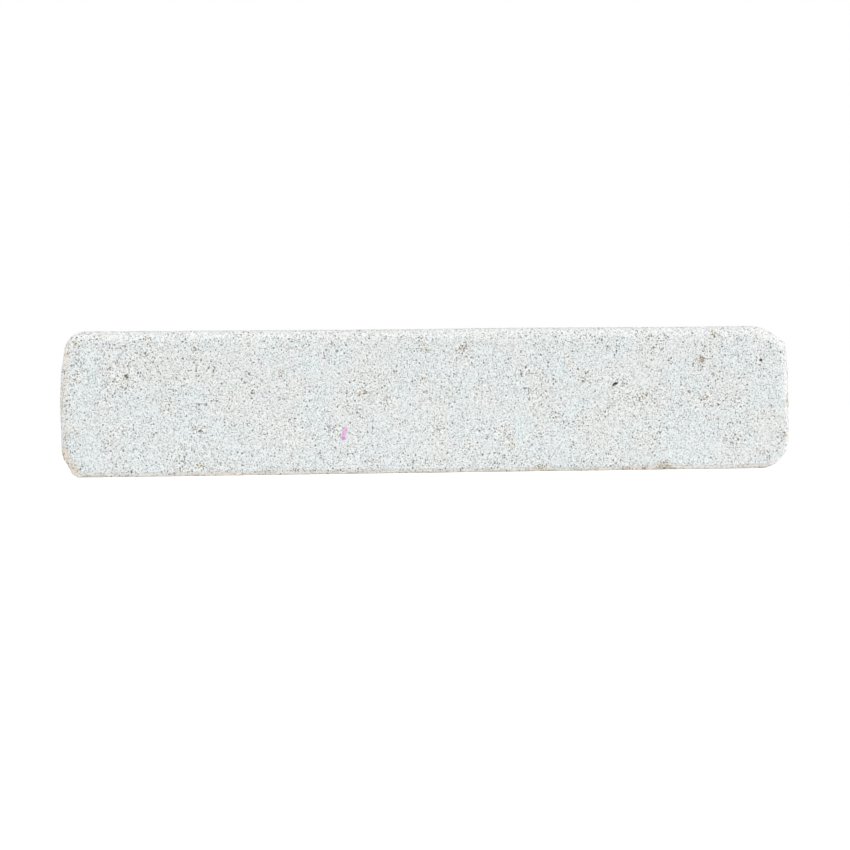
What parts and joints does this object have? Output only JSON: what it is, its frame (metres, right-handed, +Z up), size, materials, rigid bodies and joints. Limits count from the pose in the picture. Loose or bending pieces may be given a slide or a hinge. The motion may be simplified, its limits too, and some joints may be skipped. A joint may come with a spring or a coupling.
{
  "type": "stone brick",
  "caption": "Tumbled limestone facing brick: a long, low block with worn arrises, slightly crowned ends and a broken lower corner.",
  "frame": {"origin": "centre of the lower bed, on the surface that the block rests on", "axes": "+X along the length, +Y from the face that shows in the wall towards the back, +Z up from the lower bed to the upper bed"},
  "size_m": [0.25, 0.12, 0.0495],
  "materials": {
    "limestone": "matt, open-grained limestone, tumbled: chalky near-white with fine pores, arrises and broken spots a little warmer"
  },
  "bodies": {
    "root": {"brick": "limestone"}
  },
  "joints": []
}
